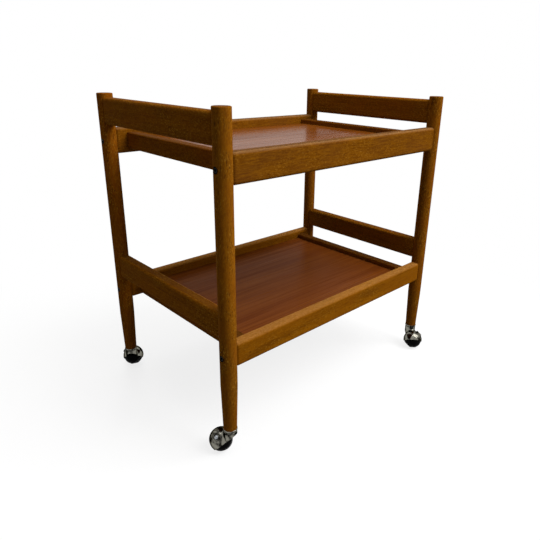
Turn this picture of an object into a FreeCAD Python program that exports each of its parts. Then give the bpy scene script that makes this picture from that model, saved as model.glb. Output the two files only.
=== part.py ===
"""Two-tier tea trolley: turned posts, rounded boards, two fixed trays and four ball castors.

Frame: millimetres, +Z up, +X along the trays, +Y across them.  The origin is on the floor
at the middle of the four posts.  One STEP file per sub-part is written to parts/.
"""
import FreeCAD, Part
import math
import os

from FreeCAD import Rotation, Vector

# ---- overall layout -----------------------------------------------------------------
POST_SPACING_X = 672.0        # post axis to post axis, along the trays
POST_SPACING_Y = 433.0        # post axis to post axis, across the trays
POST_TOP_Z = 711.0            # top of the posts above the floor

# ---- posts --------------------------------------------------------------------------
POST_DIAMETER = 34.8
LEG_END_DIAMETER = 28.8       # the leg tapers to this at its foot
POST_TOP_EDGE = 2.0           # rounded edge of the flat top
TAPER_DROP = 42.0             # the taper starts this far below the lower side rails

# ---- boards and rails ---------------------------------------------------------------
BOARD_THICKNESS = 26.0        # handle boards, end boards and side rails
BOARD_EDGE = 7.0              # rounded arris all round a board

HANDLE_BOARD_HEIGHT = 58.6
HANDLE_BOARD_DROP = 8.6       # below the post tops
UPPER_RAIL_HEIGHT = 58.6
UPPER_RAIL_TOP_DROP = 75.8    # below the post tops
LOWER_END_BOARD_HEIGHT = 55.0
LOWER_END_BOARD_TOP_Z = 328.8
LOWER_RAIL_HEIGHT = 52.6
LOWER_RAIL_TOP_Z = 262.8

# ---- trays --------------------------------------------------------------------------
TRAY_END_RAIL_INSET = 38.6    # post axis to the outer face of a tray end rail
TRAY_END_RAIL_THICKNESS = 23.0
TRAY_END_RAIL_HEIGHT = 37.7
TRAY_END_RAIL_DROP = 11.0     # its top below the side rails' top
TRAY_END_RAIL_EDGE = 3.0
PANEL_DROP = 24.0             # panel's upper face below the side rails' top
PANEL_THICKNESS = 6.0
PANEL_REBATE = 1.2            # depth of the step round the panel's upper edge
GROOVE_DEPTH = 6.0
PANEL_EDGE_GAP = 1.0          # room for the panel to swell inside its groove
PANEL_FACE_GAP = 0.2          # groove above the tongue, and rails round the raised face

# ---- bolts and barrel nuts ------------------------------------------------------------
BOLT_DIAMETER = 6.0
BOLT_HEAD_DIAMETER = 10.0
BOLT_HEAD_HEIGHT = 6.0
BOLT_SOCKET_ACROSS_FLATS = 5.0
BOLT_SOCKET_DEPTH = 3.0
BOLT_HEAD_RECESS = 0.8        # head's outer face inside the post's surface
COUNTERBORE_CLEARANCE = 0.9
BOLT_HOLE_CLEARANCE = 0.3
NUT_DIAMETER = 10.0
NUT_LENGTH = 16.0
NUT_FROM_SEAT = 19.0          # barrel nut's axis from the rim of the rail's hollowed end
NUT_THREAD_CLEARANCE = 0.05
BOLT_PAST_NUT = 2.0
HOLE_RUN_OUT = 2.0            # hole past the end of what it holds

# ---- dowels ---------------------------------------------------------------------------
BOARD_DOWEL_DIAMETER = 10.0
BOARD_DOWEL_IN_POST = 12.0    # depth past the seat of the board
BOARD_DOWEL_IN_BOARD = 24.0
BOARD_DOWEL_SPACING = 30.0
RAIL_DOWEL_DIAMETER = 8.0
RAIL_DOWEL_IN_SIDE = 12.0
RAIL_DOWEL_IN_END = 20.0
RAIL_DOWEL_SPACING = 17.0
DOWEL_END_GAP = 1.0           # glue room at each end of a dowel

# ---- castors --------------------------------------------------------------------------
CASTOR_TRAIL = 23.9           # swivel axis to wheel centre
WHEEL_EDGE_RADIUS = 24.5      # wheel centre to the edges of the tread
TREAD_HALF_ANGLE = 18.0       # the cone of the tread, seen from the wheel centre
AXLE_TILT = 45.0              # axle above the horizontal
WHEEL_EDGE_ROUND = 1.6
WHEEL_GAP = 0.6               # wheel to the inside of the hood
HOOD_WALL = 1.2
HORN_RADIUS = 14.6
HORN_ABOVE_BALL = 8.9         # top of the horn above the top of the hood's ball
HORN_EDGE = 1.4
HORN_BLEND = 5.0              # fillet between the horn and the ball of the hood
FRONT_RIM_OFFSET = 0.42       # front opening plane, as a share of the hood's radius
REAR_RIM_OFFSET = 0.2         # rear opening plane, as a share of the hood's radius
REAR_RIM_NORMAL = (-0.6, 0.18, 0.78)
AXLE_RADIUS = 3.5
AXLE_CLEARANCE = 0.06
AXLE_HEAD_RADIUS = 6.5
AXLE_HEAD_HEIGHT = 2.4
AXLE_END_PLAY = 0.3
WHEEL_RECESS_RADIUS = 7.5
WHEEL_RECESS_DEPTH = 4.0
HUB_FACE_HEIGHT = 19.6        # wheel centre to the hub's face, along the axle
HUB_WELL_RADIUS = 8.4
INNER_BOSS_RADIUS = 7.0
OUTER_BOSS_RADIUS = 8.5
OUTER_BOSS_RISE = 1.6
OUTER_BOSS_EDGE = 0.7
RIVET_WELL_RADIUS = 5.4
RIVET_WELL_DEPTH = 1.8
RIVET_RADIUS = 4.7
RIVET_HEIGHT = 1.3
COLLAR_RADIUS = 15.2
COLLAR_HEIGHT = 3.6
COLLAR_EDGE = 1.0
THRUST_WASHER_RADIUS = 11.6
THRUST_WASHER_THICKNESS = 1.0
SWIVEL_GAP = 0.4              # thrust washer to the collar
STEM_RADIUS = 4.0
STEM_CLEARANCE = 0.08
STEM_ABOVE_COLLAR = 38.0
STEM_FOOT_RADIUS = 5.0
STEM_FOOT_DEPTH = 9.0
SLEEVE_WALL = 1.1
SLEEVE_LENGTH = 42.0
SLEEVE_FLANGE_RADIUS = 9.0
SLEEVE_FLANGE_THICKNESS = 1.2
STEM_RING_BELOW_TIP = 6.0
STEM_RING_INNER_RADIUS = 3.3
STEM_RING_OUTER_RADIUS = 4.5
STEM_RING_THICKNESS = 1.2
STEM_RING_SLOT = 1.6
RING_GROOVE_CLEARANCE = 0.2

CORNERS = {
    # name: (side along X, side along Y, trail bearing in degrees from +X)
    "front_left": (-1, -1, 108.8),
    "back_left": (-1, 1, 54.3),
    "front_right": (1, -1, 237.8),
    "back_right": (1, 1, 71.2),
}

# ---- values that follow from the ones above -------------------------------------------
POST_RADIUS = POST_DIAMETER / 2
LEG_END_RADIUS = LEG_END_DIAMETER / 2
HALF_X = POST_SPACING_X / 2
HALF_Y = POST_SPACING_Y / 2
SEAT_FROM_AXIS = math.sqrt(POST_RADIUS ** 2 - (BOARD_THICKNESS / 2) ** 2)
WHEEL_CENTRE_Z = WHEEL_EDGE_RADIUS * math.cos(math.radians(TREAD_HALF_ANGLE))
HOOD_INNER_RADIUS = WHEEL_EDGE_RADIUS + WHEEL_GAP
HOOD_RADIUS = HOOD_INNER_RADIUS + HOOD_WALL
HORN_RISE = HOOD_RADIUS + HORN_ABOVE_BALL
HORN_TOP_Z = WHEEL_CENTRE_Z + HORN_RISE
COLLAR_BOTTOM_Z = HORN_TOP_Z + THRUST_WASHER_THICKNESS + SWIVEL_GAP
LEG_END_Z = COLLAR_BOTTOM_Z + COLLAR_HEIGHT
UPPER_RAIL_TOP_Z = POST_TOP_Z - UPPER_RAIL_TOP_DROP
HANDLE_BOARD_TOP_Z = POST_TOP_Z - HANDLE_BOARD_DROP
TAPER_TOP_Z = LOWER_RAIL_TOP_Z - LOWER_RAIL_HEIGHT - TAPER_DROP
STEM_TIP_Z = LEG_END_Z + STEM_ABOVE_COLLAR

TRAYS = {
    # name: (side rails' top, side rails' height)
    "upper": (UPPER_RAIL_TOP_Z, UPPER_RAIL_HEIGHT),
    "lower": (LOWER_RAIL_TOP_Z, LOWER_RAIL_HEIGHT),
}
BOARDS = {
    # name: (top, height)
    "handle_board": (HANDLE_BOARD_TOP_Z, HANDLE_BOARD_HEIGHT),
    "lower_end_board": (LOWER_END_BOARD_TOP_Z, LOWER_END_BOARD_HEIGHT),
}
X_AXIS = Vector(1, 0, 0)
Z_AXIS = Vector(0, 0, 1)
ORIGIN = Vector(0, 0, 0)


# ---- small helpers --------------------------------------------------------------------
def rod(radius, start, direction, length):
    """Cylinder of the given radius from a start point along a direction."""
    return Part.makeCylinder(radius, length, start, direction)


def box_between(low, high):
    """Box between two opposite corners."""
    size = high - low
    return Part.makeBox(size.x, size.y, size.z, low)


def turned(points, arcs=()):
    """Solid turned about Z from (radius, height) points; arcs maps a point's index to the
    middle point of the arc that leaves it."""
    middle = dict(arcs)
    corners = [Vector(radius, 0, height) for radius, height in points]
    edges = []
    for index, start in enumerate(corners):
        end = corners[(index + 1) % len(corners)]
        if index in middle:
            radius, height = middle[index]
            edges.append(Part.Arc(start, Vector(radius, 0, height), end).toShape())
        else:
            edges.append(Part.LineSegment(start, end).toShape())
    face = Part.Face(Part.Wire(edges))
    return face.revolve(ORIGIN, Z_AXIS, 360)


def on_sphere(radius, polar_degrees):
    """(radius, height) of the point on a sphere at an angle from its +Z pole."""
    angle = math.radians(polar_degrees)
    return radius * math.sin(angle), radius * math.cos(angle)


def dome_middle(radius, base, rise):
    """(radius, height) half way up the profile of a spherical cap; rise is signed."""
    ball = (radius ** 2 + rise ** 2) / (2 * abs(rise))
    half_angle = math.asin(radius / ball) / 2
    height = ball * math.cos(half_angle) - (ball - abs(rise))
    return ball * math.sin(half_angle), base + math.copysign(height, rise)


def half_space(normal, distance, reach):
    """Large box that fills the side of a plane that its normal points away from."""
    block = Part.makeBox(2 * reach, 2 * reach, reach, Vector(-reach, -reach, -reach))
    direction = Vector(*normal).normalize()
    block.Placement = FreeCAD.Placement(direction * distance, Rotation(Z_AXIS, direction))
    return block


def rounded_board(size_x, size_y, size_z, centre, radius):
    """Board with every arris rounded."""
    low = centre - Vector(size_x / 2, size_y / 2, size_z / 2)
    block = Part.makeBox(size_x, size_y, size_z, low)
    return block.makeFillet(radius, block.Edges)


def post_axis(corner):
    """Foot of a post's axis on the floor."""
    side_x, side_y = CORNERS[corner][:2]
    return Vector(side_x * HALF_X, side_y * HALF_Y, 0)


def all_post_outlines():
    """Plain cylinders of the post diameter at the four corners."""
    return [rod(POST_RADIUS, post_axis(corner), Z_AXIS, POST_TOP_Z) for corner in CORNERS]


# ---- bolts, nuts and dowels: their places serve the pieces and the holes alike ----------
def bolt_heights():
    """Heights of the bolts: the middle of each side rail."""
    return [top - height / 2 for top, height in TRAYS.values()]


def bolt_places():
    """(start on the post's outer surface, direction inwards) of each bolt."""
    places = []
    for side_x, side_y, _ in CORNERS.values():
        for height in bolt_heights():
            start = Vector(side_x * (HALF_X + POST_RADIUS), side_y * HALF_Y, height)
            places.append((start, Vector(-side_x, 0, 0)))
    return places


def bolt_head_depth():
    """Depth of the counterbore from the post's outer surface."""
    return BOLT_HEAD_RECESS + BOLT_HEAD_HEIGHT


def nut_distance():
    """From the post's outer surface to the barrel nut's axis."""
    return POST_RADIUS + SEAT_FROM_AXIS + NUT_FROM_SEAT


def bolt_end():
    """From the post's outer surface to the bolt's tip."""
    return nut_distance() + NUT_DIAMETER / 2 + BOLT_PAST_NUT


def bolt_holes():
    """Counterbore and clearance hole of every bolt."""
    holes = []
    for start, inwards in bolt_places():
        wide = (BOLT_HEAD_DIAMETER + 2 * COUNTERBORE_CLEARANCE) / 2
        narrow = (BOLT_DIAMETER + 2 * BOLT_HOLE_CLEARANCE) / 2
        outside = start - inwards * POST_RADIUS
        holes.append(rod(wide, outside, inwards, POST_RADIUS + bolt_head_depth()))
        holes.append(rod(narrow, start, inwards, bolt_end() + HOLE_RUN_OUT))
    return holes


def nut_places():
    """Lower end of each barrel nut; the nuts stand upright, centred on their bolts."""
    centres = [start + inwards * nut_distance() for start, inwards in bolt_places()]
    return [centre - Z_AXIS * (NUT_LENGTH / 2) for centre in centres]


def nut_holes():
    """Blind hole of every barrel nut, drilled up from the underside of its rail."""
    holes = []
    depths = [height / 2 for _, height in TRAYS.values()]
    for index, end in enumerate(nut_places()):
        depth = depths[index % len(depths)] + HOLE_RUN_OUT
        mouth = end + Z_AXIS * (NUT_LENGTH / 2 - depth)
        holes.append(rod(NUT_DIAMETER / 2, mouth, Z_AXIS, depth + NUT_LENGTH / 2))
    return holes


def board_dowel_places():
    """(end of each dowel in the post, direction into the board) for the end boards."""
    places = []
    for side_x, side_y, _ in CORNERS.values():
        for top, height in BOARDS.values():
            for step in (-0.5, 0.5):
                level = top - height / 2 + step * BOARD_DOWEL_SPACING
                into_board = Vector(0, -side_y, 0)
                reach = SEAT_FROM_AXIS - BOARD_DOWEL_IN_POST
                start = Vector(side_x * HALF_X, side_y * (HALF_Y - reach), level)
                places.append((start, into_board))
    return places


def rail_dowel_places():
    """(end of each dowel in the side rail, direction into the tray end rail)."""
    places = []
    middle_x = HALF_X - TRAY_END_RAIL_INSET - TRAY_END_RAIL_THICKNESS / 2
    inner_face = HALF_Y - BOARD_THICKNESS / 2
    for side_x, side_y, _ in CORNERS.values():
        for top, _ in TRAYS.values():
            centre = top - TRAY_END_RAIL_DROP - TRAY_END_RAIL_HEIGHT / 2
            for step in (-0.5, 0.5):
                level = centre + step * RAIL_DOWEL_SPACING
                start = Vector(side_x * middle_x, side_y * (inner_face + RAIL_DOWEL_IN_SIDE), level)
                places.append((start, Vector(0, -side_y, 0)))
    return places


def dowels(places, diameter, length):
    """Round dowels with eased ends."""
    group = []
    for start, direction in places:
        dowel = rod(diameter / 2, start, direction, length)
        ends = [edge for edge in dowel.Edges if edge.Curve.TypeId == "Part::GeomCircle"]
        group.append(dowel.makeChamfer(diameter / 10, ends))
    return group


def dowel_holes(places, diameter, length):
    """Holes for dowels, longer by the glue room at each end."""
    holes = []
    for start, direction in places:
        mouth = start - direction * DOWEL_END_GAP
        holes.append(rod(diameter / 2, mouth, direction, length + 2 * DOWEL_END_GAP))
    return holes


def board_dowel_holes():
    """Holes shared by the posts and the boards between them."""
    length = BOARD_DOWEL_IN_POST + BOARD_DOWEL_IN_BOARD
    return dowel_holes(board_dowel_places(), BOARD_DOWEL_DIAMETER, length)


def rail_dowel_holes():
    """Holes shared by the side rails and the tray end rails."""
    length = RAIL_DOWEL_IN_SIDE + RAIL_DOWEL_IN_END
    return dowel_holes(rail_dowel_places(), RAIL_DOWEL_DIAMETER, length)


# ---- wooden pieces ----------------------------------------------------------------------
def make_post(corner):
    """Turned post: straight past both trays, then tapering to the castor's collar."""
    profile = [
        (0, LEG_END_Z),
        (LEG_END_RADIUS, LEG_END_Z),
        (POST_RADIUS, TAPER_TOP_Z),
        (POST_RADIUS, POST_TOP_Z - POST_TOP_EDGE),
        (POST_RADIUS - POST_TOP_EDGE, POST_TOP_Z),
        (0, POST_TOP_Z),
    ]
    turn = POST_TOP_EDGE * (1 - math.sqrt(0.5))
    post = turned(profile, {3: (POST_RADIUS - turn, POST_TOP_Z - turn)})
    post.translate(post_axis(corner))
    bore = rod(STEM_RADIUS + STEM_CLEARANCE + SLEEVE_WALL,
               post_axis(corner) + Vector(0, 0, LEG_END_Z), Z_AXIS, SLEEVE_LENGTH + HOLE_RUN_OUT)
    return post.cut([bore] + bolt_holes() + board_dowel_holes())


def make_end_board(side_x, board):
    """Rounded board between the two posts of one end, hollowed to seat on them."""
    top, height = BOARDS[board]
    centre = Vector(side_x * HALF_X, 0, top - height / 2)
    length = POST_SPACING_Y - 2 * SEAT_FROM_AXIS
    blank = rounded_board(BOARD_THICKNESS, length, height, centre, BOARD_EDGE)
    return blank.cut(all_post_outlines() + board_dowel_holes())


def panel_block(tray, edge_reach, low_drop, high_drop):
    """Block of a tray's panel: edge_reach into the rails, between two depths below its face."""
    face = TRAYS[tray][0] - PANEL_DROP
    reach_x = HALF_X - TRAY_END_RAIL_INSET - TRAY_END_RAIL_THICKNESS + edge_reach
    reach_y = HALF_Y - BOARD_THICKNESS / 2 + edge_reach
    low = Vector(-reach_x, -reach_y, face - low_drop)
    return box_between(low, Vector(reach_x, reach_y, face - high_drop))


def panel_groove(tray):
    """What the four rails of a tray lose to the panel's tongue."""
    return panel_block(tray, GROOVE_DEPTH, PANEL_THICKNESS, PANEL_REBATE - PANEL_FACE_GAP)


def make_side_rail(side_y, tray):
    """Long side of a tray, bolted between two posts and grooved for the panel."""
    top, height = TRAYS[tray]
    centre = Vector(0, side_y * HALF_Y, top - height / 2)
    length = POST_SPACING_X - 2 * SEAT_FROM_AXIS
    blank = rounded_board(length, BOARD_THICKNESS, height, centre, BOARD_EDGE)
    cuts = all_post_outlines() + bolt_holes() + nut_holes() + rail_dowel_holes()
    return blank.cut(cuts + [panel_groove(tray)])


def make_tray_end_rail(side_x, tray):
    """Short side of a tray, dowelled between the side rails and grooved for the panel."""
    top = TRAYS[tray][0] - TRAY_END_RAIL_DROP
    outer = HALF_X - TRAY_END_RAIL_INSET
    inner = outer - TRAY_END_RAIL_THICKNESS
    reach_y = HALF_Y - BOARD_THICKNESS / 2
    low = Vector(min(side_x * outer, side_x * inner), -reach_y, top - TRAY_END_RAIL_HEIGHT)
    high = Vector(max(side_x * outer, side_x * inner), reach_y, top)
    blank = box_between(low, high)
    long_edges = [edge for edge in blank.Edges if edge.BoundBox.YLength > reach_y]
    blank = blank.makeFillet(TRAY_END_RAIL_EDGE, long_edges)
    return blank.cut(rail_dowel_holes() + [panel_groove(tray)])


def make_panel(tray):
    """Flat panel that floats in the four grooves on a tongue, its face raised between them."""
    tongue = panel_block(tray, GROOVE_DEPTH - PANEL_EDGE_GAP, PANEL_THICKNESS, PANEL_REBATE)
    face = panel_block(tray, -PANEL_FACE_GAP, PANEL_REBATE, 0)
    return tongue.fuse(face).removeSplitter()


# ---- fasteners --------------------------------------------------------------------------
def make_bolts():
    """Socket-head bolts through the posts into the side rails."""
    group = []
    for start, inwards in bolt_places():
        head_face = start + inwards * BOLT_HEAD_RECESS
        head = rod(BOLT_HEAD_DIAMETER / 2, head_face, inwards, BOLT_HEAD_HEIGHT)
        shank_length = bolt_end() - BOLT_HEAD_RECESS
        shank = rod(BOLT_DIAMETER / 2, head_face, inwards, shank_length)
        socket = hexagon_prism(head_face, inwards, BOLT_SOCKET_ACROSS_FLATS, BOLT_SOCKET_DEPTH)
        group.append(head.fuse(shank).removeSplitter().cut(socket))
    return group


def hexagon_prism(start, direction, across_flats, length):
    """Hexagonal prism from a start point along X."""
    corner_radius = across_flats / math.sqrt(3)
    corners = []
    for turn in range(7):
        angle = math.radians(60 * turn)
        offset = Vector(0, corner_radius * math.cos(angle), corner_radius * math.sin(angle))
        corners.append(start + offset)
    face = Part.Face(Part.makePolygon(corners))
    return face.extrude(direction * length)


def make_barrel_nuts():
    """Cylindrical cross nuts in the side rails, tapped across for the bolts."""
    group = []
    for end, (start, inwards) in zip(nut_places(), bolt_places()):
        nut = rod(NUT_DIAMETER / 2, end, Z_AXIS, NUT_LENGTH)
        tapped = rod(BOLT_DIAMETER / 2 + NUT_THREAD_CLEARANCE, start, inwards,
                     bolt_end() + HOLE_RUN_OUT)
        group.append(nut.cut(tapped))
    return group


# ---- castors ----------------------------------------------------------------------------
# A castor is built about its wheel centre: +X is the trail, away from the swivel axis, +Y
# the side that the axle's upper end leans to.  All four castors are alike.
def place_castor_piece(shape, corner):
    """Move a castor piece from its own axes to its corner."""
    bearing = CORNERS[corner][2]
    shape.rotate(ORIGIN, Z_AXIS, bearing)
    angle = math.radians(bearing)
    trail = Vector(math.cos(angle), math.sin(angle), 0) * CASTOR_TRAIL
    shape.translate(post_axis(corner) + trail + Vector(0, 0, WHEEL_CENTRE_Z))
    return shape


def tilt_to_axle(shape):
    """Turn a shape made about Z so that Z becomes the axle's direction."""
    shape.rotate(ORIGIN, X_AXIS, AXLE_TILT - 90)
    return shape


def make_wheel(corner):
    """Ball-shaped wheel with a conical tread that lies flat on the floor."""
    contact = 90 + AXLE_TILT
    far_edge = on_sphere(WHEEL_EDGE_RADIUS, contact + TREAD_HALF_ANGLE)
    near_edge = on_sphere(WHEEL_EDGE_RADIUS, contact - TREAD_HALF_ANGLE)
    shoulder_radius = WHEEL_EDGE_RADIUS - 0.2
    shoulder = on_sphere(shoulder_radius, 92)
    well_angle = math.degrees(math.asin(HUB_WELL_RADIUS / shoulder_radius))
    well_top = on_sphere(shoulder_radius, well_angle)
    bore = AXLE_RADIUS + AXLE_CLEARANCE
    recess_floor = far_edge[1] + WHEEL_RECESS_DEPTH
    profile = [
        (bore, HUB_FACE_HEIGHT),
        (bore, recess_floor),
        (WHEEL_RECESS_RADIUS, recess_floor),
        (WHEEL_RECESS_RADIUS, far_edge[1]),
        far_edge,
        near_edge,
        shoulder,
        well_top,
        (HUB_WELL_RADIUS, HUB_FACE_HEIGHT),
    ]
    wheel = turned(profile, {6: on_sphere(shoulder_radius, (92 + well_angle) / 2)})
    rims = [edge for edge in wheel.Edges if is_tread_edge(edge, far_edge, near_edge)]
    wheel = wheel.makeFillet(WHEEL_EDGE_ROUND, rims)
    return place_castor_piece(tilt_to_axle(wheel), corner)


def is_tread_edge(edge, far_edge, near_edge):
    """True for the two circles that bound the conical tread."""
    if edge.Curve.TypeId != "Part::GeomCircle":
        return False
    for radius, height in (far_edge, near_edge):
        centre = edge.Curve.Center
        if abs(edge.Curve.Radius - radius) < 1e-6 and abs(centre.z - height) < 1e-6:
            return abs(edge.Curve.Axis.z) > 0.5
    return False


def make_axle(corner):
    """Headed pin: head in the wheel's recess, tail riveted over in the hood's boss."""
    far_edge = on_sphere(WHEEL_EDGE_RADIUS, 90 + AXLE_TILT + TREAD_HALF_ANGLE)
    head_top = far_edge[1] + WHEEL_RECESS_DEPTH - AXLE_END_PLAY
    head_rim = head_top - AXLE_HEAD_HEIGHT / 2
    rivet_base = HOOD_RADIUS + OUTER_BOSS_RISE - RIVET_WELL_DEPTH
    profile = [
        (0, head_top - AXLE_HEAD_HEIGHT),
        (AXLE_HEAD_RADIUS, head_rim),
        (AXLE_HEAD_RADIUS, head_top),
        (AXLE_RADIUS, head_top),
        (AXLE_RADIUS, rivet_base),
        (RIVET_RADIUS, rivet_base),
        (0, rivet_base + RIVET_HEIGHT),
    ]
    arcs = {
        0: dome_middle(AXLE_HEAD_RADIUS, head_rim, -AXLE_HEAD_HEIGHT / 2),
        5: dome_middle(RIVET_RADIUS, rivet_base, RIVET_HEIGHT),
    }
    return place_castor_piece(tilt_to_axle(turned(profile, arcs)), corner)


def make_hood(corner):
    """Ball-shaped hood with a horn for the stem, open in front of and behind the wheel."""
    reach = 4 * HOOD_RADIUS
    ball = Part.makeSphere(HOOD_RADIUS)
    foot = Vector(-CASTOR_TRAIL, 0, 0)
    horn = rod(HORN_RADIUS, foot - Z_AXIS * HOOD_RADIUS, Z_AXIS, HOOD_RADIUS + HORN_RISE)
    body = ball.fuse(horn)
    seams = [edge for edge in body.Edges if is_seam(edge, foot)]
    body = body.makeFillet(HORN_BLEND, seams)
    brows = [edge for edge in body.Edges if is_horn_top(edge)]
    body = body.makeFillet(HORN_EDGE, brows)
    boss = rod(OUTER_BOSS_RADIUS, ORIGIN, Z_AXIS, HOOD_RADIUS + OUTER_BOSS_RISE)
    crown = [edge for edge in boss.Edges if abs(edge.BoundBox.ZMin - boss.BoundBox.ZMax) < 1e-6]
    boss = boss.makeFillet(OUTER_BOSS_EDGE, crown)
    body = body.fuse(tilt_to_axle(boss))
    front = half_space((1, 0, 1), -FRONT_RIM_OFFSET * HOOD_RADIUS / math.sqrt(2), reach)
    rear = half_space(REAR_RIM_NORMAL, -REAR_RIM_OFFSET * HOOD_RADIUS, reach)
    body = body.cut([Part.makeSphere(HOOD_INNER_RADIUS), front, rear])
    spigot_start = HUB_FACE_HEIGHT + SWIVEL_GAP
    spigot = rod(INNER_BOSS_RADIUS, Z_AXIS * spigot_start, Z_AXIS, HOOD_RADIUS - spigot_start)
    body = body.fuse(tilt_to_axle(spigot))
    well_base = HOOD_RADIUS + OUTER_BOSS_RISE - RIVET_WELL_DEPTH
    well = rod(RIVET_WELL_RADIUS, Z_AXIS * well_base, Z_AXIS, reach)
    pin_hole = rod(AXLE_RADIUS, ORIGIN, Z_AXIS, reach)
    stem_hole = rod(STEM_FOOT_RADIUS, foot + Z_AXIS * (HORN_RISE - STEM_FOOT_DEPTH), Z_AXIS, reach)
    body = body.cut([tilt_to_axle(well), tilt_to_axle(pin_hole), stem_hole])
    return place_castor_piece(body, corner)


def is_seam(edge, foot):
    """True for the curve where the ball and the horn meet."""
    for share in (0.1, 0.3, 0.5, 0.7, 0.9):
        first, last = edge.ParameterRange
        point = edge.valueAt(first + share * (last - first))
        from_axis = math.hypot(point.x - foot.x, point.y - foot.y)
        if abs(point.Length - HOOD_RADIUS) > 1e-4 or abs(from_axis - HORN_RADIUS) > 1e-4:
            return False
    return True


def is_horn_top(edge):
    """True for the rim at the top of the horn."""
    bounds = edge.BoundBox
    return bounds.ZLength < 1e-6 and abs(bounds.ZMax - HORN_RISE) < 1e-6


def make_collar(corner):
    """Ring pressed on under the leg, round the sleeve's flange."""
    inner = STEM_RADIUS + STEM_CLEARANCE + SLEEVE_WALL
    profile = [
        (inner, COLLAR_BOTTOM_Z + SLEEVE_FLANGE_THICKNESS),
        (SLEEVE_FLANGE_RADIUS, COLLAR_BOTTOM_Z + SLEEVE_FLANGE_THICKNESS),
        (SLEEVE_FLANGE_RADIUS, COLLAR_BOTTOM_Z),
        (COLLAR_RADIUS - COLLAR_EDGE, COLLAR_BOTTOM_Z),
        (COLLAR_RADIUS, COLLAR_BOTTOM_Z + COLLAR_EDGE),
        (COLLAR_RADIUS, LEG_END_Z - COLLAR_EDGE),
        (COLLAR_RADIUS - COLLAR_EDGE, LEG_END_Z),
        (inner, LEG_END_Z),
    ]
    turn = COLLAR_EDGE * (1 - math.sqrt(0.5))
    arcs = {
        3: (COLLAR_RADIUS - turn, COLLAR_BOTTOM_Z + turn),
        5: (COLLAR_RADIUS - turn, LEG_END_Z - turn),
    }
    collar = turned(profile, arcs)
    collar.translate(post_axis(corner))
    return collar


def ring_level():
    """Underside of the stem's retaining ring."""
    return STEM_TIP_Z - STEM_RING_BELOW_TIP


def make_sleeve(corner):
    """Flanged socket pressed into the leg, with an inner groove for the stem's ring."""
    inner = STEM_RADIUS + STEM_CLEARANCE
    outer = inner + SLEEVE_WALL
    groove = STEM_RING_OUTER_RADIUS + RING_GROOVE_CLEARANCE
    groove_low = ring_level() - RING_GROOVE_CLEARANCE
    groove_high = ring_level() + STEM_RING_THICKNESS + RING_GROOVE_CLEARANCE
    top = LEG_END_Z + SLEEVE_LENGTH
    profile = [
        (inner, COLLAR_BOTTOM_Z),
        (SLEEVE_FLANGE_RADIUS, COLLAR_BOTTOM_Z),
        (SLEEVE_FLANGE_RADIUS, COLLAR_BOTTOM_Z + SLEEVE_FLANGE_THICKNESS),
        (outer, COLLAR_BOTTOM_Z + SLEEVE_FLANGE_THICKNESS),
        (outer, top),
        (inner, top),
        (inner, groove_high),
        (groove, groove_high),
        (groove, groove_low),
        (inner, groove_low),
    ]
    sleeve = turned(profile)
    sleeve.translate(post_axis(corner))
    return sleeve


def make_stem(corner):
    """Stem riveted into the horn, grooved near its tip for the retaining ring."""
    foot_z = HORN_TOP_Z - STEM_FOOT_DEPTH
    tip_round = STEM_RADIUS / 3
    neck = STEM_RING_INNER_RADIUS - RING_GROOVE_CLEARANCE
    groove_low = ring_level() - RING_GROOVE_CLEARANCE
    groove_high = ring_level() + STEM_RING_THICKNESS + RING_GROOVE_CLEARANCE
    profile = [
        (0, foot_z),
        (STEM_FOOT_RADIUS, foot_z),
        (STEM_FOOT_RADIUS, HORN_TOP_Z),
        (STEM_RADIUS, HORN_TOP_Z),
        (STEM_RADIUS, groove_low),
        (neck, groove_low),
        (neck, groove_high),
        (STEM_RADIUS, groove_high),
        (STEM_RADIUS, STEM_TIP_Z - tip_round),
        (STEM_RADIUS - tip_round, STEM_TIP_Z),
        (0, STEM_TIP_Z),
    ]
    stem = turned(profile)
    stem.translate(post_axis(corner))
    return stem


def make_stem_ring(corner):
    """Split spring ring that holds the stem in its sleeve."""
    start = Z_AXIS * ring_level()
    ring = rod(STEM_RING_OUTER_RADIUS, start, Z_AXIS, STEM_RING_THICKNESS)
    hole = rod(STEM_RING_INNER_RADIUS, start, Z_AXIS, STEM_RING_THICKNESS)
    slot = Part.makeBox(2 * STEM_RING_OUTER_RADIUS, STEM_RING_SLOT, STEM_RING_THICKNESS,
                        start - Vector(0, STEM_RING_SLOT / 2, 0))
    ring = ring.cut([hole, slot])
    ring.rotate(ORIGIN, Z_AXIS, CORNERS[corner][2])
    ring.translate(post_axis(corner))
    return ring


def make_thrust_washer(corner):
    """Plain washer between the horn and the collar."""
    inner = STEM_RADIUS
    start = post_axis(corner) + Z_AXIS * HORN_TOP_Z
    washer = rod(THRUST_WASHER_RADIUS, start, Z_AXIS, THRUST_WASHER_THICKNESS)
    return washer.cut(rod(inner, start, Z_AXIS, THRUST_WASHER_THICKNESS))


# ---- the whole trolley --------------------------------------------------------------------
def wooden_pieces():
    """Posts, end boards and both trays."""
    pieces = {}
    for corner in CORNERS:
        pieces[corner + "_post"] = make_post(corner)
    for side, side_x in (("left", -1), ("right", 1)):
        for board in BOARDS:
            pieces[side + "_" + board] = make_end_board(side_x, board)
    for tray in TRAYS:
        for side, side_y in (("front", -1), ("back", 1)):
            pieces[tray + "_tray_" + side + "_rail"] = make_side_rail(side_y, tray)
        for side, side_x in (("left", -1), ("right", 1)):
            pieces[tray + "_tray_" + side + "_end_rail"] = make_tray_end_rail(side_x, tray)
        pieces[tray + "_tray_panel"] = make_panel(tray)
    return pieces


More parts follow.
